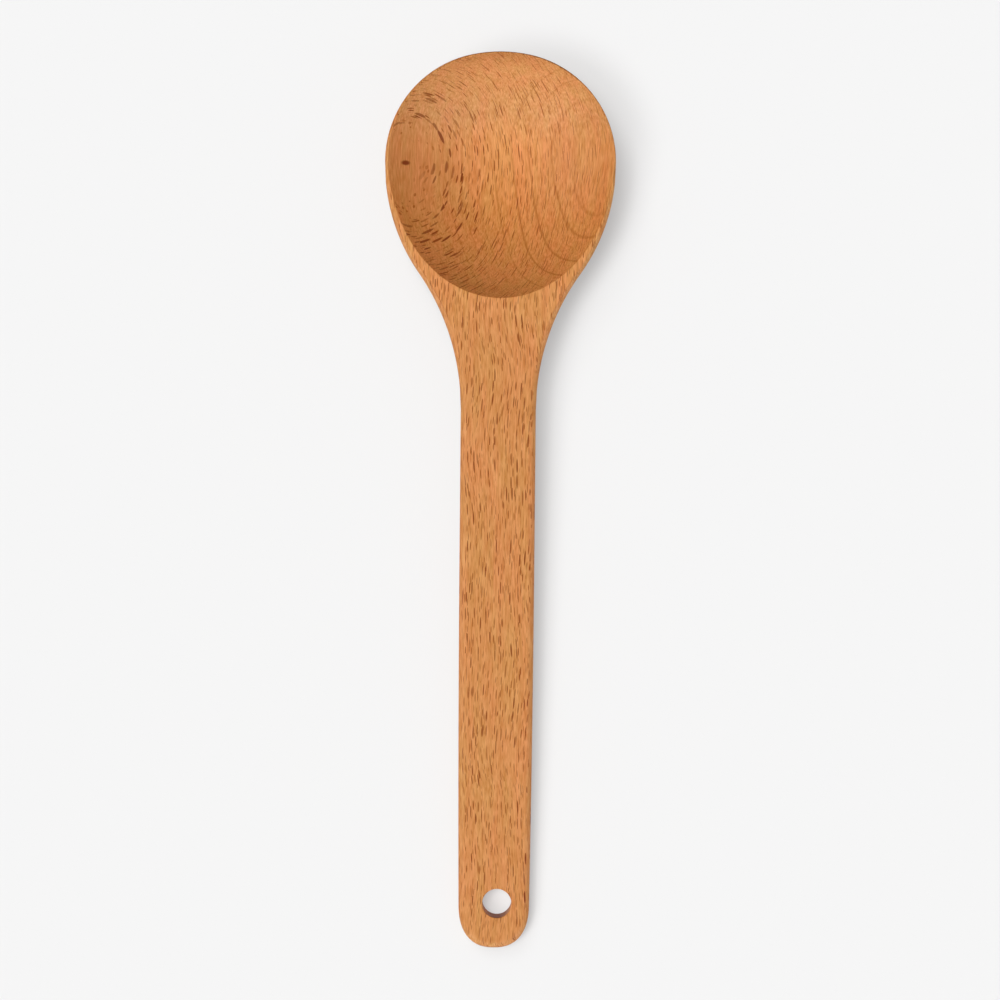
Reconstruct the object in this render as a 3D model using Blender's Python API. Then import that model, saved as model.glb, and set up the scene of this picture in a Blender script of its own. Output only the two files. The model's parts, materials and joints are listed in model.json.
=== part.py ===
"""A one-piece beech serving ladle, milled from a single board.

Its outline, seen from above, is a chain of tangent curves from the handle's tip to the bowl's
far end. The board's top stays flat from the tip to the bowl's rim. Under it the handle is a
slab with rounded edges, and the slab's underside swells into the round outside of the bowl.
The cavity and the hanging hole are cut into that blank. The ladle is stored as it lies on a
table, on the bottom of its bowl and on the end of its handle.
"""
import math

import bmesh
import bpy
from mathutils import Matrix, Vector

# Outline, in metres, seen from above
LENGTH = 0.300                  # handle tip to the bowl's far end
BOWL_WIDTH = 0.0767             # across the bowl at its widest
END_ARC_EXTRA = 0.008           # the far end's arc radius is half the bowl's width and this
SIDE_ARC_LESS = 0.0022          # the side arcs' radius is half the bowl's width less this
STRAIGHT_SIDE = 0.0012          # straight stretch at the bowl's widest place
SHOULDER_RADIUS = 0.062         # outward curve below the bowl's widest point
NECK_RADIUS = 0.079             # inward curve from the shoulder into the handle's side
HANDLE_WIDTH = 0.0251           # at the neck
TIP_WIDTH = 0.0238              # where the tip's rounding starts
TAPER_LENGTH = 0.111            # the handle narrows to its tip over this length
TIP_ROUND_LENGTH = 0.0152       # length of the rounded tip
TIP_SQUARENESS = 2.43           # 2 is an ellipse, more is squarer

# Heights, in metres, below the flat top
HANDLE_THICKNESS = 0.008
CAVITY_DEPTH = 0.018
FLOOR_THICKNESS = 0.005         # wood left under the deepest point of the cavity
SWELL_LENGTH = 0.070            # the handle's underside drops to the bowl's over this length
TOP_EDGE_RADIUS = 0.0022        # along the handle and neck
RIM_EDGE_RADIUS = 0.001         # round the outside of the bowl's rim
BOTTOM_EDGE_RADIUS = 0.0025

# Cavity and hanging hole, in metres
RIM_LEFT = 0.00105              # from the bowl's left side to the cavity, at its widest
RIM_RIGHT = 0.00045
RIM_END = 0.0004
CAVITY_FORWARD = 0.0017         # the cavity is widest this far beyond the bowl's widest point
CAVITY_PAST_SHOULDER = 0.0082   # how far the cavity runs on from the shoulder towards the neck
CUTTER_HALF_HEIGHT = 0.0337     # half height of the egg-shaped form that cuts the cavity
HOLE_DIAMETER = 0.0098
HOLE_FROM_TIP = 0.0153
HOLE_OFF_CENTRE = 0.0010        # the hole is drilled to the right of the centre line

# Oiled beech, as linear colour
BEECH_COLOUR = (0.60, 0.25, 0.088, 1.0)
BEECH_ROUGHNESS = 0.55

# Steps along each stretch of the outline, and down its side
TIP_STEPS = 9
TAPER_STEPS = 6
HANDLE_STEPS = 4
NECK_STEPS = 8
SHOULDER_STEPS = 8
SIDE_STEPS = 12
END_STEPS = 3
TOP_EDGE_STEPS = 3
BOTTOM_EDGE_STEPS = 4
UNDERSIDE_STEPS = 7
CAVITY_SEGMENTS = 48
HOLE_SEGMENTS = 32

# Sizes that follow from those above
BOWL_HEIGHT = CAVITY_DEPTH + FLOOR_THICKNESS
HALF_BOWL = BOWL_WIDTH / 2
HALF_HANDLE = HANDLE_WIDTH / 2
HALF_TIP = TIP_WIDTH / 2
END_RADIUS = HALF_BOWL + END_ARC_EXTRA
SIDE_RADIUS = HALF_BOWL - SIDE_ARC_LESS
CUTTER_MARGIN = 0.002           # how far the hole's cutter runs past both faces


def outline_centres():
    """Centres of the end, side, shoulder and neck arcs, each tangent to the next."""
    end = Vector((0.0, LENGTH - END_RADIUS))
    side_x = HALF_BOWL - SIDE_RADIUS
    side = Vector((side_x, end.y + math.sqrt((END_RADIUS - SIDE_RADIUS) ** 2 - side_x ** 2)))
    shoulder = Vector((HALF_BOWL - SHOULDER_RADIUS, side.y - STRAIGHT_SIDE))
    neck_x = HALF_HANDLE + NECK_RADIUS
    reach = SHOULDER_RADIUS + NECK_RADIUS
    neck = Vector((neck_x, shoulder.y - math.sqrt(reach ** 2 - (neck_x - shoulder.x) ** 2)))
    return end, side, shoulder, neck


END_CENTRE, SIDE_CENTRE, SHOULDER_CENTRE, NECK_CENTRE = outline_centres()
SHOULDER_TURN = math.acos((NECK_CENTRE.x - SHOULDER_CENTRE.x) / (SHOULDER_RADIUS + NECK_RADIUS))
END_TURN = math.atan2(SIDE_CENTRE.x - END_CENTRE.x, SIDE_CENTRE.y - END_CENTRE.y)
SHOULDER_END_Y = SHOULDER_CENTRE.y - SHOULDER_RADIUS * math.sin(SHOULDER_TURN)
BOWL_CENTRE_Y = SIDE_CENTRE.y
NECK_Y = NECK_CENTRE.y


def arc(centre, radius, start, end, steps):
    """Points on an arc from its start angle up to, but not at, its end angle."""
    angles = [start + (end - start) * i / steps for i in range(steps)]
    return [centre + radius * Vector((math.cos(a), math.sin(a))) for a in angles]


def half_outline():
    """The right half of the outline, from the middle of the tip to the middle of the far end."""
    points = []
    for i in range(TIP_STEPS):
        turn = math.pi / 2 * i / TIP_STEPS
        x = HALF_TIP * math.sin(turn) ** (2 / TIP_SQUARENESS)
        y = TIP_ROUND_LENGTH * (1 - math.cos(turn) ** (2 / TIP_SQUARENESS))
        points.append(Vector((x, y)))
    for i in range(TAPER_STEPS):
        part = i / TAPER_STEPS
        x = HALF_HANDLE - (HALF_HANDLE - HALF_TIP) * (1 - part) ** 2
        points.append(Vector((x, TIP_ROUND_LENGTH + TAPER_LENGTH * part)))
    taper_end = TIP_ROUND_LENGTH + TAPER_LENGTH
    for i in range(HANDLE_STEPS):
        y = taper_end + (NECK_Y - taper_end) * i / HANDLE_STEPS
        points.append(Vector((HALF_HANDLE, y)))
    points += arc(NECK_CENTRE, NECK_RADIUS, math.pi, math.pi - SHOULDER_TURN, NECK_STEPS)
    points += arc(SHOULDER_CENTRE, SHOULDER_RADIUS, -SHOULDER_TURN, 0.0, SHOULDER_STEPS)
    points.append(Vector((HALF_BOWL, SHOULDER_CENTRE.y)))
    points += arc(SIDE_CENTRE, SIDE_RADIUS, 0.0, math.pi / 2 - END_TURN, SIDE_STEPS)
    points += arc(END_CENTRE, END_RADIUS, math.pi / 2 - END_TURN, math.pi / 2, END_STEPS)
    points.append(Vector((0.0, LENGTH)))
    return points


def spine_y(y):
    """Where the half-section that starts at y on the outline ends on the centre line.

    Sections cross the handle and neck squarely, and fan out around the tip and the bowl's far half.
    """
    return min(max(y, TIP_ROUND_LENGTH), BOWL_CENTRE_Y)


def ease(part):
    """A smooth rise from 0 to 1."""
    part = min(max(part, 0.0), 1.0)
    return part * part * (3 - 2 * part)


def depth_on_spine(y):
    """Depth of the underside below the flat top, along the centre line."""
    swell = ease((y - BOWL_CENTRE_Y + SWELL_LENGTH) / SWELL_LENGTH)
    return HANDLE_THICKNESS + (BOWL_HEIGHT - HANDLE_THICKNESS) * swell


def section(width, depth, bowl_share):
    """One side of a cross-section, as (inset, depth) pairs from the flat top to the spine.

    The handle's section is a slab with rounded edges and the bowl's is a quarter of an ellipse.
    bowl_share mixes the two, so that one turns into the other along the neck.
    """
    top_radius = TOP_EDGE_RADIUS + (RIM_EDGE_RADIUS - TOP_EDGE_RADIUS) * bowl_share
    pairs = []
    for i in range(TOP_EDGE_STEPS + 1):
        turn = math.pi / 2 * i / TOP_EDGE_STEPS
        pairs.append((top_radius * (1 - math.sin(turn)), top_radius * (1 - math.cos(turn))))
    steps = BOTTOM_EDGE_STEPS + UNDERSIDE_STEPS
    for i in range(steps + 1):
        if i <= BOTTOM_EDGE_STEPS:
            turn = math.pi / 2 * i / BOTTOM_EDGE_STEPS
            slab_inset = BOTTOM_EDGE_RADIUS * (1 - math.cos(turn))
            slab_depth = depth - BOTTOM_EDGE_RADIUS * (1 - math.sin(turn))
        else:
            part = (i - BOTTOM_EDGE_STEPS) / UNDERSIDE_STEPS
            slab_inset = BOTTOM_EDGE_RADIUS + (width - BOTTOM_EDGE_RADIUS) * part
            slab_depth = depth
        turn = math.pi / 2 * (i + 1) / (steps + 1)
        dome_inset = width * (1 - math.cos(turn))
        dome_drop = (depth - top_radius) * math.sin(turn)
        pairs.append((slab_inset + (dome_inset - slab_inset) * bowl_share,
                      slab_depth + (top_radius + dome_drop - slab_depth) * bowl_share))
    return pairs


def blank_mesh():
    """The closed blank, with its flat top at height 0 and its tip at y = 0."""
    right = half_outline()
    left = [Vector((-p.x, p.y)) for p in reversed(right[1:-1])]
    bm = bmesh.new()
    columns = []
    for point in right + left:
        spine = Vector((0.0, spine_y(point.y)))
        inward = spine - point
        share = ease((spine.y - NECK_Y) / (BOWL_CENTRE_Y - NECK_Y))
        column = []
        for inset, depth in section(inward.length, depth_on_spine(spine.y), share):
            place = point + inward.normalized() * inset
            column.append(bm.verts.new((place.x, place.y, -depth)))
        columns.append(column)
    for here, following in zip(columns, columns[1:] + columns[:1]):
        for k in range(len(here) - 1):
            bm.faces.new((here[k], here[k + 1], following[k + 1], following[k]))
    bm.faces.new([column[0] for column in columns])
    bmesh.ops.remove_doubles(bm, verts=bm.verts, dist=1e-6)
    bmesh.ops.dissolve_degenerate(bm, edges=bm.edges, dist=1e-6)
    bmesh.ops.recalc_face_normals(bm, faces=bm.faces)
    mesh = bpy.data.meshes.new("ladle_body")
    bm.to_mesh(mesh)
    bm.free()
    return mesh


def rest_tilt(mesh):
    """The angle at which the bowl's bottom and the handle's end touch the table together."""
    low, high = 0.0, math.radians(30)
    for _ in range(50):
        tilt = (low + high) / 2
        heights = [(v.co.y, v.co.y * math.sin(tilt) + v.co.z * math.cos(tilt)) for v in mesh.vertices]
        bowl = min(z for y, z in heights if y > NECK_Y)
        handle = min(z for y, z in heights if y <= NECK_Y)
        if bowl < handle:
            low = tilt
        else:
            high = tilt
    return (low + high) / 2


def beech_material():
    material = bpy.data.materials.new("beech")
    material.use_nodes = True
    shader = material.node_tree.nodes["Principled BSDF"]
    shader.inputs["Base Color"].default_value = BEECH_COLOUR
    shader.inputs["Roughness"].default_value = BEECH_ROUGHNESS
    shader.inputs["Metallic"].default_value = 0.0
    return material


def add_object(name, mesh, parent):
    obj = bpy.data.objects.new(name, mesh)
    bpy.context.scene.collection.objects.link(obj)
    obj.parent = parent
    return obj


def add_cutter(name, bm, place, parent, target):
    """A hidden form that a Boolean cuts out of the target."""
    mesh = bpy.data.meshes.new(name)
    bm.to_mesh(mesh)
    bm.free()
    cutter = add_object(name, mesh, parent)
    cutter.location = place
    cutter.hide_render = True
    cutter.display_type = "WIRE"
    cut = target.modifiers.new(name, "BOOLEAN")
    cut.operation = "DIFFERENCE"
    cut.solver = "EXACT"
    cut.object = cutter


def cut_cavity(ladle, parent):
    """An egg-shaped form, longer towards the neck, reaches CAVITY_DEPTH below the flat top."""
    centre_height = CUTTER_HALF_HEIGHT - CAVITY_DEPTH
    widening = 1 / math.sqrt(1 - (centre_height / CUTTER_HALF_HEIGHT) ** 2)
    half_width = (BOWL_WIDTH - RIM_LEFT - RIM_RIGHT) / 2 * widening
    widest_y = BOWL_CENTRE_Y + CAVITY_FORWARD
    far_length = (LENGTH - RIM_END - widest_y) * widening
    near_length = (widest_y - SHOULDER_END_Y + CAVITY_PAST_SHOULDER) * widening
    bm = bmesh.new()
    bmesh.ops.create_uvsphere(bm, u_segments=CAVITY_SEGMENTS, v_segments=CAVITY_SEGMENTS // 2, radius=1.0)
    for vert in bm.verts:
        vert.co.x *= half_width
        vert.co.y *= far_length if vert.co.y > 0 else near_length
        vert.co.z *= CUTTER_HALF_HEIGHT
    add_cutter("cavity_cutter", bm, ((RIM_LEFT - RIM_RIGHT) / 2, widest_y, centre_height), parent, ladle)


def cut_hanging_hole(ladle, parent):
    bm = bmesh.new()
    bmesh.ops.create_cone(bm, cap_ends=True, segments=HOLE_SEGMENTS, radius1=HOLE_DIAMETER / 2,
                          radius2=HOLE_DIAMETER / 2, depth=HANDLE_THICKNESS + 2 * CUTTER_MARGIN)
    place = (HOLE_OFF_CENTRE, HOLE_FROM_TIP, -HANDLE_THICKNESS / 2)
    add_cutter("hole_cutter", bm, place, parent, ladle)


def build():
    for obj in list(bpy.data.objects):
        bpy.data.objects.remove(obj, do_unlink=True)
    mesh = blank_mesh()
    mesh.materials.append(beech_material())
    mesh.shade_smooth()
    mesh.set_sharp_from_angle(angle=math.radians(40))

    # The empty tilts the ladle, stands it on the table and centres it over the origin.
    rest_pose = add_object("rest_pose", None, None)
    tilt = rest_tilt(mesh)
    turned = [Matrix.Rotation(tilt, 3, "X") @ v.co for v in mesh.vertices]
    middle_y = (min(p.y for p in turned) + max(p.y for p in turned)) / 2
    rest_pose.rotation_euler.x = tilt
    rest_pose.location = (0.0, -middle_y, -min(p.z for p in turned))

    ladle = add_object("ladle_body", mesh, rest_pose)
    cut_cavity(ladle, rest_pose)
    cut_hanging_hole(ladle, rest_pose)


build()
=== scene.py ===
import json
import math

import bmesh
import bpy
from mathutils import Matrix, Vector


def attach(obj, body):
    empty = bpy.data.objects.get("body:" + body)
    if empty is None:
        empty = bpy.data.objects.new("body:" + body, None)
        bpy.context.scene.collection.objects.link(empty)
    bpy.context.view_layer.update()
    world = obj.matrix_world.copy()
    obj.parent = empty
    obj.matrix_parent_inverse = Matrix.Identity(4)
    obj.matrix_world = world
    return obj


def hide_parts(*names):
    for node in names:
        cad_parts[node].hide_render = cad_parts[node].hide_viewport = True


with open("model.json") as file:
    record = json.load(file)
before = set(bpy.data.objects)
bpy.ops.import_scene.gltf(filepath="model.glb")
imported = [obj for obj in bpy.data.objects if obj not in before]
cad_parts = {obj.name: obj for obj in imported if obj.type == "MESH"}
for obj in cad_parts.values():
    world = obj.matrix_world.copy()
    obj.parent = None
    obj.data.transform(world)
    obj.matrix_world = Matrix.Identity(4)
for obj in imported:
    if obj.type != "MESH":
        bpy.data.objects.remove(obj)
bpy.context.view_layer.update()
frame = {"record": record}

# The camera hangs straight over the ladle, 1.1 m above the table that it lies on. It is turned half
# a degree, because the ladle lies that much askew in the photograph.
camera_data = bpy.data.cameras.new("overhead_camera")
camera_data.sensor_width = 36.0
camera_data.lens = 116.9
camera = bpy.data.objects.new("overhead_camera", camera_data)
camera.location = (0.00085, 0.00106, 1.100)
camera.rotation_euler = (0.0, 0.0, 0.0092)
bpy.context.scene.collection.objects.link(camera)
bpy.context.scene.camera = camera

# The ladle is one piece of beech, sawn from a board and milled to this outline. The handle is a slab
# with rounded edges, and its underside swells along the neck into the bowl's round outside.
# It is drawn lying level, in metres, with its top at height 0 and its tip at y = 0.
length = 0.300
half_bowl = 0.03835
half_handle = 0.01255
half_tip = 0.0119
tip_length = 0.0152
tip_squareness = 2.43
taper_length = 0.111
handle_thickness = 0.008
bowl_height = 0.023
swell_length = 0.070
handle_edge = 0.0022
rim_edge = 0.001
fine_edge_length = 0.024
underside_edge = 0.0025
end_radius = half_bowl + 0.008
side_radius = half_bowl - 0.0022
straight_side = 0.0012
shoulder_radius = 0.062
neck_radius = 0.079
edge_steps = 6
underside_steps = 9
tip_steps = 16
taper_rows = 8
plain_rows = (0.145, 0.164)
dome_steps = 16
bowl_steps = 24
neck_rows = 48

# Points this near count as in one place, in one seam or in one row, and turns this near as the same
same_place = 1e-6
same_seam = 2e-6
same_row = 1e-5
same_turn = 1e-3

# Centres of the arcs of the outline, each tangent to the next
end_y = length - end_radius
side_x = half_bowl - side_radius
bowl_y = end_y + math.sqrt((end_radius - side_radius) ** 2 - side_x ** 2)
shoulder_x = half_bowl - shoulder_radius
shoulder_y = bowl_y - straight_side
neck_x = half_handle + neck_radius
neck_y = shoulder_y - math.sqrt((shoulder_radius + neck_radius) ** 2 - (neck_x - shoulder_x) ** 2)
shoulder_turn = math.acos((neck_x - shoulder_x) / (shoulder_radius + neck_radius))
shoulder_end_y = shoulder_y - shoulder_radius * math.sin(shoulder_turn)


def start_piece(name):
    """Starts a piece with an empty mesh, open for drawing."""
    bpy.ops.object.select_all(action="DESELECT")
    bpy.ops.mesh.primitive_plane_add(size=0.001)
    piece = bpy.context.object
    piece.name = name
    bpy.ops.object.mode_set(mode="EDIT")
    bpy.ops.mesh.delete(type="VERT")
    return piece


def choose(test):
    """Selects the points of the mesh at hand that pass the test, and the edges and faces between."""
    mesh = bpy.context.edit_object.data
    points = bmesh.from_edit_mesh(mesh)
    for point in points.verts:
        point.select = test(point.co)
    points.select_flush_mode()
    bmesh.update_edit_mesh(mesh, loop_triangles=False)


def start_line(place):
    """Puts one point into the mesh at hand, for a line to be drawn on from it."""
    bpy.ops.mesh.select_all(action="DESELECT")
    bpy.ops.mesh.primitive_plane_add(size=0.001, location=place)
    bpy.ops.mesh.merge(type="CENTER")


def draw_on(step, times=1):
    """Draws a straight line on from the chosen point."""
    for _ in range(times):
        bpy.ops.mesh.extrude_vertices_move(TRANSFORM_OT_translate={"value": Vector(step) / times})


def close_seams():
    """Joins the points that lie in one place."""
    bpy.ops.mesh.select_all(action="SELECT")
    bpy.ops.mesh.remove_doubles(threshold=same_seam)


def half_width(y):
    """Half the width of the handle, neck and near half of the bowl."""
    if y < tip_length + taper_length:
        return half_handle - (half_handle - half_tip) * (1 - (y - tip_length) / taper_length) ** 2
    if y < neck_y:
        return half_handle
    if y < shoulder_end_y:
        return neck_x - math.sqrt(neck_radius ** 2 - (y - neck_y) ** 2)
    return shoulder_x + math.sqrt(shoulder_radius ** 2 - max(shoulder_y - y, 0.0) ** 2)


def far_reach(turn):
    """How far the bowl's far half reaches from the bowl's centre, at that angle from the side."""
    side = side_x * math.cos(turn) + math.sqrt(side_radius ** 2 - (side_x * math.sin(turn)) ** 2)
    drop = bowl_y - end_y
    end = math.sqrt(end_radius ** 2 - (drop * math.cos(turn)) ** 2) - drop * math.sin(turn)
    joint = math.atan2(end_radius * (drop / (end_radius - side_radius)) - drop,
                       end_radius * side_x / (end_radius - side_radius))
    return side if turn < joint else end


def tip_reach(turn):
    """How far the rounded tip reaches from its centre, at that angle from the side."""
    across = math.cos(turn) / half_tip
    along = math.sin(turn) / tip_length
    return (across ** tip_squareness + along ** tip_squareness) ** (-1 / tip_squareness)


def ease(part):
    """A smooth rise from 0 to 1."""
    part = min(max(part, 0.0), 1.0)
    return part * part * (3 - 2 * part)


def ease_back(rise):
    """Where that smooth rise has come to this height."""
    return 0.5 - math.sin(math.asin(1 - 2 * rise) / 3)


def underside(y):
    """Depth of the underside, which swells from the handle's to the bowl's."""
    swell = ease((y - bowl_y + swell_length) / swell_length)
    return handle_thickness + (bowl_height - handle_thickness) * swell


def top_edge(y):
    """Radius of the top's rounded edge, which gets finer on its way round the bowl."""
    finer = ease((y - bowl_y + fine_edge_length) / fine_edge_length)
    return handle_edge + (rim_edge - handle_edge) * finer


ladle = start_piece("beech_ladle")

# The right half of the handle's section, from the edge of its top round to the middle of its underside
start_line((half_tip - handle_edge, tip_length, 0))
bpy.ops.mesh.spin(steps=edge_steps, angle=-math.pi / 2, axis=(0, 1, 0),
                  center=(half_tip - handle_edge, tip_length, -handle_edge))
draw_on((0, 0, handle_edge + underside_edge - handle_thickness))
bpy.ops.mesh.spin(steps=edge_steps, angle=-math.pi / 2, axis=(0, 1, 0),
                  center=(half_tip - underside_edge, tip_length, underside_edge - handle_thickness))
draw_on((underside_edge - half_tip, 0, 0), times=underside_steps)

# Turned round for the tip, whose outline is fuller than a circle
choose(lambda p: abs(p.y - tip_length) < same_place)
bpy.ops.mesh.spin(steps=tip_steps, angle=math.pi / 2, axis=(0, 0, 1), center=(0, tip_length, 0))
close_seams()
for step in range(1, tip_steps + 1):
    turn = math.pi / 2 * step / tip_steps
    choose(lambda p: p.y < tip_length - same_place
           and abs(math.atan2(tip_length - p.y, p.x) - turn) < same_turn)
    fuller = tip_reach(turn) / half_tip
    bpy.ops.transform.resize(value=(fuller, fuller, 1), center_override=(0, tip_length, 0))

# Drawn out along the handle, which widens a little up to the neck
choose(lambda p: abs(p.y - tip_length) < same_place)
here = tip_length
taper = [tip_length + taper_length * row / taper_rows for row in range(1, taper_rows + 1)]
for there in (*taper, *plain_rows, neck_y):
    bpy.ops.mesh.extrude_edges_move(TRANSFORM_OT_translate={"value": (0, there - here, 0)})
    wider = half_width(there) / half_width(here)
    bpy.ops.transform.resize(value=(wider, 1, 1), center_override=(0, there, 0))
    here = there

# The bowl's section is a quarter of an ellipse, turned round for the bowl's far half
start_line((half_bowl - rim_edge, bowl_y, 0))
bpy.ops.mesh.spin(steps=edge_steps, angle=-math.pi / 2, axis=(0, 1, 0),
                  center=(half_bowl - rim_edge, bowl_y, -rim_edge))
bpy.ops.mesh.spin(steps=dome_steps, angle=-math.pi / 2, axis=(0, 1, 0), center=(0, bowl_y, -rim_edge))
choose(lambda p: p.y > bowl_y - same_place and p.z < -rim_edge - same_place)
flatter = (bowl_height - rim_edge) / half_bowl
bpy.ops.transform.resize(value=(1, 1, flatter), center_override=(0, bowl_y, -rim_edge))
choose(lambda p: p.y > bowl_y - same_place)
bpy.ops.mesh.spin(steps=bowl_steps, angle=-math.pi / 2, axis=(0, 0, 1), center=(0, bowl_y, 0))
close_seams()
for step in range(1, bowl_steps + 1):
    turn = math.pi / 2 * step / bowl_steps
    choose(lambda p: p.y > bowl_y + same_place
           and abs(math.atan2(p.y - bowl_y, p.x) - turn) < same_turn)
    fuller = far_reach(turn) / half_bowl
    bpy.ops.transform.resize(value=(fuller, fuller, 1), center_override=(0, bowl_y, 0))

# The neck and the near half of the bowl: the slab turns into the dome between the two sections
choose(lambda p: abs(p.y - neck_y) < same_place or abs(p.y - bowl_y) < same_place)
bpy.ops.mesh.bridge_edge_loops(type="SINGLE", number_cuts=neck_rows - 1, interpolation="LINEAR")
middle_row = neck_rows // 2
for row in (*range(middle_row, 0, -1), *range(middle_row + 1, neck_rows)):
    part = row / neck_rows
    here = neck_y + (bowl_y - neck_y) * part
    there = neck_y + (bowl_y - neck_y) * ease_back(part)
    wide = half_handle + (half_bowl - half_handle) * part
    deep = handle_thickness + (bowl_height - handle_thickness) * part
    edge = handle_edge + (rim_edge - handle_edge) * part
    wider = half_width(there) / wide
    deeper = underside(there) / deep
    rounder = top_edge(there) / edge
    choose(lambda p: abs(p.y - here) < same_row
           and p.x > wide - edge - same_place and p.z > -edge - same_place)
    bpy.ops.transform.resize(value=(rounder / wider, 1, rounder / deeper), center_override=(wide, here, 0))
    choose(lambda p: abs(p.y - here) < same_row)
    bpy.ops.transform.resize(value=(wider, 1, deeper), center_override=(0, here, 0))
    bpy.ops.transform.translate(value=(0, there - here, 0))

# The other half is its mirror image, and a flat face closes the top
bpy.ops.object.mode_set(mode="OBJECT")
mirror = ladle.modifiers.new("other_half", "MIRROR")
mirror.merge_threshold = same_seam
bpy.ops.object.modifier_apply(modifier=mirror.name)
bpy.ops.object.mode_set(mode="EDIT")
close_seams()
choose(lambda p: p.z > -same_place)
bpy.ops.mesh.edge_face_add()
bpy.ops.mesh.select_all(action="SELECT")
bpy.ops.mesh.normals_make_consistent(inside=False)
bpy.ops.object.mode_set(mode="OBJECT")

# The bowl's cavity is milled 18 mm deep into the flat top. It is an egg, longer towards the neck, and
# a little to the right. It leaves a thin rim, which widens only towards the neck.
cavity_depth = 0.018
form_height = 0.0337
rim_left = 0.00105
rim_right = 0.00045
rim_end = 0.0004
past_shoulder = 0.0082
past_widest = 0.0017
above_top = 0.004
cavity_steps = 28
cavity_turns = 96
sanded_edge = 0.00015
form_centre = form_height - cavity_depth
cavity_x = (rim_left - rim_right) / 2
cavity_y = bowl_y + past_widest
cavity_half = half_bowl - (rim_left + rim_right) / 2
cavity_far = length - rim_end - cavity_y
cavity_near = cavity_y - shoulder_end_y + past_shoulder


def cut_out(form):
    """Cuts a form out of the ladle."""
    bpy.ops.object.mode_set(mode="OBJECT")
    cut = ladle.modifiers.new(form.name, "BOOLEAN")
    cut.operation = "DIFFERENCE"
    cut.solver = "EXACT"
    cut.object = form
    bpy.ops.object.select_all(action="DESELECT")
    bpy.context.view_layer.objects.active = ladle
    bpy.ops.object.modifier_apply(modifier=cut.name)
    bpy.data.objects.remove(form, do_unlink=True)


cavity_form = start_piece("cavity_form")
form_dip = math.asin(form_centre / form_height)
form_reach = form_height * math.cos(form_dip)
start_line((0, cavity_y, above_top))
draw_on((form_reach, 0, 0))
draw_on((0, 0, -above_top))
bpy.ops.mesh.spin(steps=cavity_steps, angle=form_dip - math.pi / 2, axis=(0, 1, 0),
                  center=(0, cavity_y, form_centre))
bpy.ops.mesh.select_all(action="SELECT")
bpy.ops.mesh.spin(steps=cavity_turns, angle=2 * math.pi, axis=(0, 0, 1), center=(0, cavity_y, 0))
close_seams()
choose(lambda p: p.y > cavity_y + same_place)
bpy.ops.transform.resize(value=(1, cavity_far / form_reach, 1), center_override=(0, cavity_y, 0))
choose(lambda p: p.y < cavity_y - same_place)
bpy.ops.transform.resize(value=(1, cavity_near / form_reach, 1), center_override=(0, cavity_y, 0))
bpy.ops.mesh.select_all(action="SELECT")
bpy.ops.transform.resize(value=(cavity_half / form_reach, 1, 1), center_override=(0, cavity_y, 0))
bpy.ops.transform.translate(value=(cavity_x, 0, 0))
bpy.ops.mesh.normals_make_consistent(inside=False)
cut_out(cavity_form)

# Sanding breaks the cavity's sharp edge
bpy.ops.object.mode_set(mode="EDIT")
bpy.ops.mesh.select_all(action="DESELECT")
bpy.ops.mesh.edges_select_sharp(sharpness=math.radians(35))
bpy.ops.mesh.bevel(offset=sanded_edge, segments=2, affect="EDGES")
bpy.ops.object.mode_set(mode="OBJECT")

# The hanging hole is drilled through the tip, a little to the right of the middle, and its edges
# are broken with sandpaper too.
hole_radius = 0.0049
hole_place = Vector((0.0010, 0.0153, -handle_thickness / 2))
hole_edge = 0.00025
drill_length = handle_thickness + 0.004
bpy.ops.object.select_all(action="DESELECT")
bpy.ops.mesh.primitive_cylinder_add(vertices=64, radius=hole_radius, depth=drill_length,
                                    location=hole_place)
cut_out(bpy.context.object)


def on_hole_edge(p):
    """Whether the point is on the edge of the hole, at the handle's top or at its underside."""
    on_face = abs(p.z) < same_place or abs(p.z + handle_thickness) < same_place
    return on_face and abs((p.xy - hole_place.xy).length - hole_radius) < same_row


bpy.ops.object.mode_set(mode="EDIT")
choose(on_hole_edge)
bpy.ops.mesh.bevel(offset=hole_edge, segments=3, affect="EDGES")
bpy.ops.object.mode_set(mode="OBJECT")

# Last it is sanded smooth all over. On a table it lies on the bottom of its bowl and on the end of
# its handle, and so it tilts as the mount in the record does.
bpy.ops.object.select_all(action="DESELECT")
ladle.select_set(True)
bpy.context.view_layer.objects.active = ladle
bpy.ops.object.shade_smooth_by_angle(angle=math.radians(32))
even = ladle.modifiers.new("even_shading", "WEIGHTED_NORMAL")
even.keep_sharp = True
bpy.ops.object.modifier_apply(modifier=even.name)

for mount in frame["record"]["mounts"]:
    if mount["name"] == "handle_top":
        ladle_tilt = math.atan2(-mount["axis"][1], mount["axis"][2])
ladle.rotation_euler.x = ladle_tilt
bpy.ops.object.transform_apply(location=False, rotation=True, scale=False)
lengthwise = [vertex.co.y for vertex in ladle.data.vertices]
heights = [vertex.co.z for vertex in ladle.data.vertices]
rest_shift = (0.0, -(min(lengthwise) + max(lengthwise)) / 2, -min(heights))
ladle.location = rest_shift
bpy.ops.object.transform_apply(location=True, rotation=False, scale=False)

# Beech, sanded and lightly oiled. The wood runs along the handle, and the growth rings and the rays
# stand at 45 degrees to the flat top. The rays show as short dark flecks wherever the surface cuts
# them: fine dashes on the handle and on the bowl's right side, long strokes on its left side.


def put(tree, kind, wired, **settings):
    """Puts a node in the tree. Its inputs are wired to other nodes or set to a value."""
    node = tree.nodes.new("ShaderNode" + kind)
    for name, value in settings.items():
        setattr(node, name, value)
    for name, value in wired.items():
        if isinstance(value, bpy.types.NodeSocket):
            tree.links.new(value, node.inputs[name])
        else:
            node.inputs[name].default_value = value
    return node


def reckon(tree, operation, *values):
    """One step of arithmetic."""
    return put(tree, "Math", dict(enumerate(values)), operation=operation).outputs["Value"]


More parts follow.
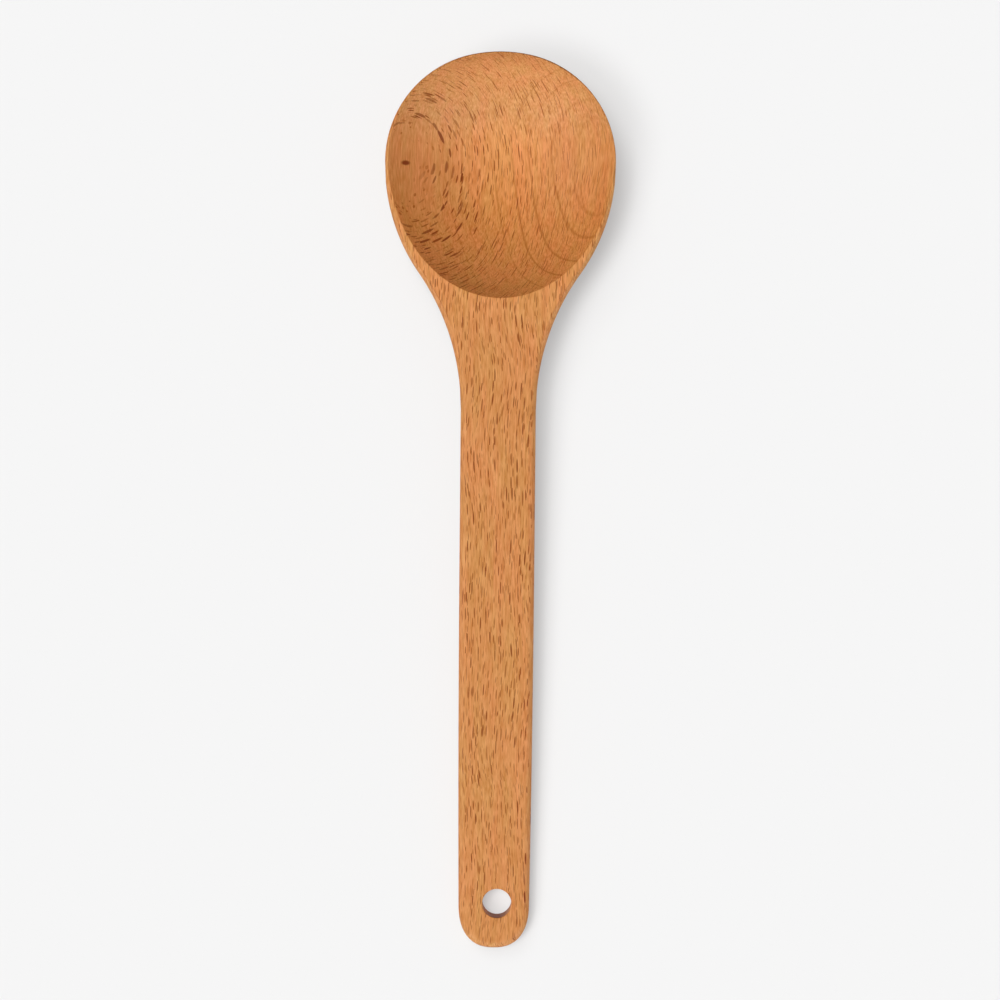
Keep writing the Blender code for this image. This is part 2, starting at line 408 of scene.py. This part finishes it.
def reckon_3(tree, operation, *values):
    """One step of arithmetic on three numbers at once."""
    node = put(tree, "VectorMath", dict(enumerate(values)), operation=operation)
    return node.outputs["Value" if operation == "LENGTH" else "Vector"]


def scale_over(tree, value, low, high, low_to=0.0, high_to=1.0, smooth=False):
    """Turns the range from low to high into the one from low_to to high_to."""
    wired = {"Value": value, "From Min": low, "From Max": high, "To Min": low_to, "To Max": high_to}
    interpolation = "SMOOTHSTEP" if smooth else "LINEAR"
    return put(tree, "MapRange", wired, interpolation_type=interpolation).outputs["Result"]


def blend_colour(tree, share, first, second):
    """The first colour where the share is 0, the second where it is 1."""
    return put(tree, "Mix", {0: share, 6: first, 7: second}, data_type="RGBA").outputs[2]


# One kind of ray fleck: thin lenses in the wood, some way apart across, along and out from the heart.
# Each has a size and a depth of colour of its own.
fleck_sizes = (0.5, 1.2)
fleck_depths = (0.38, 1.0)
ray_flecks = bpy.data.node_groups.new("ray_flecks", "ShaderNodeTree")
for name in ("Wood Place", "Apart", "Half Size", "Shift"):
    ray_flecks.interface.new_socket(name, in_out="INPUT", socket_type="NodeSocketVector")
ray_flecks.interface.new_socket("Flecks", in_out="OUTPUT", socket_type="NodeSocketFloat")
fleck_in = ray_flecks.nodes.new("NodeGroupInput").outputs
fleck_out = ray_flecks.nodes.new("NodeGroupOutput").inputs
in_cells = reckon_3(ray_flecks, "DIVIDE", fleck_in["Wood Place"], fleck_in["Apart"])
in_cells = reckon_3(ray_flecks, "ADD", in_cells, fleck_in["Shift"])
cells = put(ray_flecks, "TexVoronoi", {"Vector": in_cells, "Scale": 1.0, "Randomness": 1.0},
            voronoi_dimensions="3D", feature="F1", distance="EUCLIDEAN")
from_middle = reckon_3(ray_flecks, "SUBTRACT", in_cells, cells.outputs["Position"])
from_middle = reckon_3(ray_flecks, "MULTIPLY", from_middle, fleck_in["Apart"])
from_middle = reckon_3(ray_flecks, "DIVIDE", from_middle, fleck_in["Half Size"])
chance = put(ray_flecks, "SeparateColor", {"Color": cells.outputs["Color"]}).outputs
fleck_size = scale_over(ray_flecks, chance["Red"], 0.0, 1.0, *fleck_sizes)
outwards = reckon(ray_flecks, "DIVIDE", reckon_3(ray_flecks, "LENGTH", from_middle), fleck_size)
inside = scale_over(ray_flecks, outwards, 0.75, 1.1, low_to=1.0, high_to=0.0, smooth=True)
depth = scale_over(ray_flecks, chance["Green"], 0.0, 1.0, *fleck_depths)
ray_flecks.links.new(reckon(ray_flecks, "MULTIPLY", inside, depth), fleck_out["Flecks"])

beech = bpy.data.materials.new("oiled_beech")
beech.use_nodes = True
wood = beech.node_tree
wood_surface = wood.nodes["Principled BSDF"]


def noise(place, detail, roughness):
    """Soft noise with about one bump to a unit of the place."""
    wired = {"Vector": place, "Scale": 1.0, "Detail": detail, "Roughness": roughness}
    return put(wood, "TexNoise", wired).outputs


def moved(place, **settings):
    """The place, scaled, turned and shifted."""
    return put(wood, "Mapping", {"Vector": place, **settings}, vector_type="POINT").outputs["Vector"]


def together(*shares):
    """All the shares multiplied."""
    product = shares[0]
    for share in shares[1:]:
        product = reckon(wood, "MULTIPLY", product, share)
    return product


# The place in the wood, in millimetres: across the rays, along the handle and out from the heart.
# The grain waves a little.
ring_slant = math.radians(45)
waves_per_mm = (0.03, 0.022, 0.03)
wave_size = (5.0, 0.0, 5.0)
mm_per_m = 1000
level_shift = Matrix.Rotation(-ladle_tilt, 3, "X") @ Vector(rest_shift) * -mm_per_m
coordinates = put(wood, "TexCoord", {}).outputs
level_place = moved(coordinates["Object"], Location=level_shift, Rotation=(-ladle_tilt, 0, 0),
                    Scale=(mm_per_m, mm_per_m, mm_per_m))
wave = noise(reckon_3(wood, "MULTIPLY", level_place, waves_per_mm), detail=1.0, roughness=0.4)["Color"]
wave = reckon_3(wood, "MULTIPLY", reckon_3(wood, "SUBTRACT", wave, (0.5, 0.5, 0.5)), wave_size)
wood_place = moved(reckon_3(wood, "ADD", level_place, wave), Rotation=(0, ring_slant, 0))
level_ways = put(wood, "SeparateXYZ", {"Vector": level_place}).outputs
to_right = level_ways["X"]
along_handle = level_ways["Y"]
out_from_heart = put(wood, "SeparateXYZ", {"Vector": wood_place}).outputs["Z"]

# The ways outwards from the heart, across the rays, along the handle and up, for the shape at rest
ladle_turn = Matrix.Rotation(ladle_tilt, 3, "X")
outwards_way = ladle_turn @ Vector((-math.sin(ring_slant), 0, math.cos(ring_slant)))
across_way = ladle_turn @ Vector((math.cos(ring_slant), 0, math.sin(ring_slant)))
handle_way = ladle_turn @ Vector((0, 1, 0))
level_way = ladle_turn @ Vector((0, 0, 1))


def facing(way):
    """How squarely the surface faces that way: 1 is fully, 0 is not at all and -1 is the other way."""
    wired = {0: coordinates["Normal"], 1: way}
    return put(wood, "VectorMath", wired, operation="DOT_PRODUCT").outputs["Value"]


def tones(value, stops):
    """Turns a value from 0 to 1 into a grey: each stop is a value and its grey."""
    ramp = put(wood, "ValToRGB", {"Fac": value})
    elements = ramp.color_ramp.elements
    elements.remove(elements[1])
    elements[0].position = stops[0][0]
    for place, _ in stops[1:]:
        elements.new(place)
    for element, (_, grey) in zip(elements, stops):
        element.color = (grey, grey, grey, 1)
    return ramp.outputs["Color"]


# A ray shows where the surface cuts across it. On the bowl's steep left wall the surface runs along
# the rays, so the long flecks fade out there, and the short ones turn into dots just inside it.
along_rays = reckon(wood, "ABSOLUTE", facing(across_way))
on_ray_ends = reckon(wood, "ABSOLUTE", facing(outwards_way))
across_grain = reckon(wood, "ABSOLUTE", facing(handle_way))
all_shares = together(scale_over(wood, on_ray_ends, 0.75, 1.0, low_to=1.0, high_to=0.65),
                      scale_over(wood, across_grain, 0.3, 0.8, low_to=1.0, high_to=0.6))
right_outside = together(scale_over(wood, to_right, 13.0, 17.0),
                         scale_over(wood, along_rays, 0.72, 0.80, smooth=True))
long_shares = together(all_shares,
                       scale_over(wood, along_rays, 0.94, 0.985, low_to=1.0, high_to=0.12, smooth=True),
                       scale_over(wood, right_outside, 0.0, 1.0, low_to=1.0, high_to=0.25))
short_shares = together(all_shares,
                        scale_over(wood, along_rays, 0.975, 0.993, low_to=1.0, high_to=0.08, smooth=True))
slope_thickness = ((0.72, 0.64), (0.80, 0.76), (0.90, 0.84))
long_thickness = tones(along_rays, (*slope_thickness, (0.96, 0.42)))
short_thickness = tones(along_rays, (*slope_thickness, (0.97, 1.0)))
short_reach = scale_over(wood, along_rays, 0.92, 0.97, low_to=1.0, high_to=0.38)
small_strength = scale_over(wood, along_rays, 0.93, 0.965, low_to=0.33, high_to=0.85)


def flecks(apart, half_size, shift, thickness, reach, shares):
    """Flecks of one size, in millimetres: across the rays, along the handle and out from the heart."""
    node = put(wood, "Group", {}, node_tree=ray_flecks)
    wood.links.new(wood_place, node.inputs["Wood Place"])
    thinner = put(wood, "CombineXYZ", {"X": thickness, "Y": 1.0, "Z": reach}).outputs["Vector"]
    wood.links.new(reckon_3(wood, "MULTIPLY", thinner, half_size), node.inputs["Half Size"])
    node.inputs["Apart"].default_value = apart
    node.inputs["Shift"].default_value = shift
    return together(node.outputs["Flecks"], shares)


large_flecks = flecks(apart=(1.15, 4.4, 5.4), half_size=(0.23, 2.3, 2.6), shift=(0, 0, 0),
                      thickness=long_thickness, reach=1.0, shares=long_shares)
more_flecks = flecks(apart=(1.0, 3.5, 4.8), half_size=(0.18, 1.7, 2.2), shift=(7.3, 2.1, 5.7),
                     thickness=long_thickness, reach=1.0, shares=long_shares)
small_flecks = flecks(apart=(0.6, 2.0, 3.6), half_size=(0.12, 0.9, 1.6), shift=(3.9, 8.4, 1.6),
                      thickness=short_thickness, reach=short_reach, shares=short_shares)

# One pin knot, high on the bowl's left wall
knot_place = (-31.6, 263.2, -6.1)
knot_half_size = (1.75, 0.95, 4.0)
from_knot = reckon_3(wood, "DIVIDE", reckon_3(wood, "SUBTRACT", level_place, knot_place), knot_half_size)
pin_knot = scale_over(wood, reckon_3(wood, "LENGTH", from_knot), 0.5, 1.15, low_to=0.95, high_to=0.0,
                      smooth=True)

# Late-wood lines of the growth rings: how far out from the heart each lies, and how dark it shows.
# Each darkens slowly outwards and ends sharply. They show best in the bowl's near half.
late_lines = ((-33.0, 0.3), (-28.6, 0.35), (-25.6, 0.6), (-22.6, 0.8), (-18.0, 0.9),
              (-14.2, 1.0), (-9.9, 0.6), (-5.8, 0.35), (-1.7, 0.3), (2.4, 0.35))
line_width = 0.32
line_profile = ((-1.6, 0.0), (-0.4, 1.0), (0.4, 0.0))
lines_from = -36.0
lines_to = 8.0
late_wood_strength = 0.65
line_stops = [(0.0, 0.0)]
for place, tone in late_lines:
    for offset, share in line_profile:
        line_place = place + offset * line_width
        line_stops.append(((line_place - lines_from) / (lines_to - lines_from), tone * share))
line_stops.append((1.0, 0.0))
late_wood = together(tones(scale_over(wood, out_from_heart, lines_from, lines_to), line_stops),
                     scale_over(wood, along_handle, 190.0, 225.0, low_to=0.25, smooth=True),
                     scale_over(wood, along_handle, 245.0, 275.0, low_to=1.0, high_to=0.5, smooth=True),
                     late_wood_strength)

# Fine fibres along the wood, and broad streaks where it is duller, redder or greener
fibres_per_mm = (2.1, 0.18, 2.1)
streaks_per_mm = (0.30, 0.03, 0.30)
fibres = noise(reckon_3(wood, "MULTIPLY", wood_place, fibres_per_mm), detail=2.0, roughness=0.55)["Fac"]
fibres = scale_over(wood, fibres, 0.32, 0.68)
streaks = noise(reckon_3(wood, "MULTIPLY", wood_place, streaks_per_mm), detail=2.0, roughness=0.5)["Color"]
streaks = put(wood, "SeparateXYZ", {"Vector": streaks}).outputs
dull_streaks = scale_over(wood, streaks["X"], 0.35, 0.65, low_to=1.0, high_to=0.0)
green_streaks = scale_over(wood, streaks["Y"], 0.35, 0.65)

# Where end grain shows, and where light and shade are painted on the bowl's floor, far wall and near wall
end_grain = scale_over(wood, across_grain, 0.7, 1.0, smooth=True)
# Painted light: the bowl's level floor is made lighter, as if more light fell on it
painted_floor_light = together(scale_over(wood, facing(level_way), 0.93, 0.995, smooth=True),
                      scale_over(wood, along_handle, 205.0, 225.0, smooth=True))
# Painted sheen: the far wall, which faces the lamps, is made paler and bluer
painted_sheen_wall = scale_over(wood, facing(handle_way), -0.35, -0.1, low_to=1.0, high_to=0.0)
# Painted shade: the near wall, which faces away from the lamps, is made deeper and redder
painted_shade_wall = scale_over(wood, facing(handle_way), 0.0, 0.3)

dark_fibre = (0.550, 0.210, 0.056, 1)
pale_fibre = (0.717, 0.335, 0.120, 1)
late_wood_brown = (0.34, 0.095, 0.010, 1)
small_fleck_brown = (0.33, 0.072, 0.004, 1)
fleck_brown = (0.24, 0.045, 0.001, 1)
large_fleck_brown = (0.19, 0.030, 0.001, 1)
duller = (0.96, 0.935, 0.885)
redder = (1.03, 0.955, 1.0)
greener = (0.975, 1.02, 0.98)
# Painted light on the bowl's floor
painted_floor_tint = (1.075, 1.09, 1.09)
end_grain_tint = (0.6, 0.45, 0.35)
# Painted sheen, paler and bluer, on the bowl's far wall
painted_sheen_tint = (0.955, 1.03, 1.16)
# Painted shade, deeper and redder, on the bowl's near wall
painted_shade_tint = (1.0, 0.925, 0.77)


def tint(colour, share, factors):
    """Multiplies the colour by the factors where the share is 1, and leaves it where the share is 0."""
    return blend_colour(wood, share, colour, reckon_3(wood, "MULTIPLY", colour, factors))


colour = blend_colour(wood, fibres, dark_fibre, pale_fibre)
colour = tint(colour, dull_streaks, duller)
colour = blend_colour(wood, green_streaks, reckon_3(wood, "MULTIPLY", colour, redder),
                      reckon_3(wood, "MULTIPLY", colour, greener))
# Painted light: lighter on the bowl's level floor
colour = tint(colour, painted_floor_light, painted_floor_tint)
colour = blend_colour(wood, late_wood, colour, late_wood_brown)
colour = blend_colour(wood, together(small_flecks, small_strength), colour, small_fleck_brown)
colour = blend_colour(wood, more_flecks, colour, fleck_brown)
colour = blend_colour(wood, large_flecks, colour, large_fleck_brown)
colour = blend_colour(wood, pin_knot, colour, large_fleck_brown)
colour = tint(colour, end_grain, end_grain_tint)
# Painted sheen: the far wall paler and bluer
colour = tint(colour, painted_sheen_wall, painted_sheen_tint)
# Painted shade: the near wall deeper and redder
colour = tint(colour, painted_shade_wall, painted_shade_tint)
wood.links.new(colour, wood_surface.inputs["Base Color"])

# The fibres stand out a little, and the pale ones are slightly glossier
fibre_height = 0.00002
sheen = scale_over(wood, fibres, 0.0, 1.0, low_to=0.56, high_to=0.44)
wood.links.new(sheen, wood_surface.inputs["Roughness"])
relief = put(wood, "Bump", {"Height": fibres, "Strength": 0.5, "Distance": fibre_height})
wood.links.new(relief.outputs["Normal"], wood_surface.inputs["Normal"])
wood_surface.inputs["Specular IOR Level"].default_value = 0.15
ladle.data.materials.clear()
ladle.data.materials.append(beech)
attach(ladle, "root")
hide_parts("ladle_body")

# The ladle lies on a plain, matt, pale table, as in a photographer's studio. Seen directly the table
# glows a little, which keeps the ladle's shadow pale.
table_glow = 0.415
bpy.ops.object.select_all(action="DESELECT")
bpy.ops.mesh.primitive_plane_add(size=6)
table = bpy.context.object
table.name = "table"
pale = bpy.data.materials.new("pale_table")
pale.use_nodes = True
pale_surface = pale.node_tree.nodes["Principled BSDF"]
pale_surface.inputs["Base Color"].default_value = (0.3, 0.3, 0.3, 1)
pale_surface.inputs["Roughness"].default_value = 1.0
pale_surface.inputs["Specular IOR Level"].default_value = 0.0
pale_surface.inputs["Emission Color"].default_value = (1, 1, 1, 1)


def seen_directly(tree):
    """1 for what the camera sees, directly or in a gloss or a clear piece, and 0 for light that spreads."""
    path = put(tree, "LightPath", {}).outputs
    seen = reckon(tree, "MAXIMUM", path["Is Camera Ray"], path["Is Glossy Ray"])
    return reckon(tree, "MAXIMUM", seen, path["Is Transmission Ray"])


glow = reckon(pale.node_tree, "MULTIPLY", seen_directly(pale.node_tree), table_glow)
pale.node_tree.links.new(glow, pale_surface.inputs["Emission Strength"])
table.data.materials.append(pale)

# Round it is a plain white room. It is white only where the camera sees it, and little of its light
# spreads, so the soft boxes alone shape the ladle.
spread_light = 0.03
world = bpy.data.worlds.new("studio")
bpy.context.scene.world = world
world.use_nodes = True
room = world.node_tree.nodes["Background"]
room.inputs["Color"].default_value = (1, 1, 1, 1)
room_light = scale_over(world.node_tree, seen_directly(world.node_tree), 0.0, 1.0, low_to=spread_light)
world.node_tree.links.new(room_light, room.inputs["Strength"])


# Large soft boxes light the ladle from overhead, from the left and from both sides of its handle.
# The table has its own, high on the left, which throw the ladle's soft shadow to the right.
def soft_box(name, level, spread, tilt, bearing, lights_up):
    """A soft box far off. Level is its share of full light on a level face, tilt is from overhead, and
    bearing is where it stands, in degrees from the right. It lights only the things that are named."""
    lean = math.radians(tilt)
    turn = math.radians(bearing)
    lamp = bpy.data.lights.new(name, "SUN")
    lamp.energy = math.pi * level / math.cos(lean)
    lamp.angle = math.radians(spread)
    stand = bpy.data.objects.new(name, lamp)
    towards = Vector((math.sin(lean) * math.cos(turn), math.sin(lean) * math.sin(turn), math.cos(lean)))
    stand.rotation_euler = towards.to_track_quat("Z", "Y").to_euler()
    bpy.context.scene.collection.objects.link(stand)
    lit = bpy.data.collections.new(name + "_lights_up")
    for thing in lights_up:
        lit.objects.link(thing)
    stand.light_linking.receiver_collection = lit


soft_box("overhead_fill", level=0.25, spread=180, tilt=0, bearing=0, lights_up=[ladle, table])
soft_box("left_soft_box", level=0.20, spread=36, tilt=50, bearing=180, lights_up=[ladle])
soft_box("near_left_soft_box", level=0.26, spread=36, tilt=50, bearing=225, lights_up=[ladle])
soft_box("near_right_soft_box", level=0.27, spread=36, tilt=50, bearing=315, lights_up=[ladle])
soft_box("overhead_soft_box", level=0.75, spread=24, tilt=12, bearing=153, lights_up=[table])
soft_box("far_left_soft_box", level=0.18, spread=24, tilt=38, bearing=120, lights_up=[table])
soft_box("low_left_soft_box", level=0.48, spread=24, tilt=30, bearing=210, lights_up=[table])

bpy.context.scene.view_settings.view_transform = "Standard"
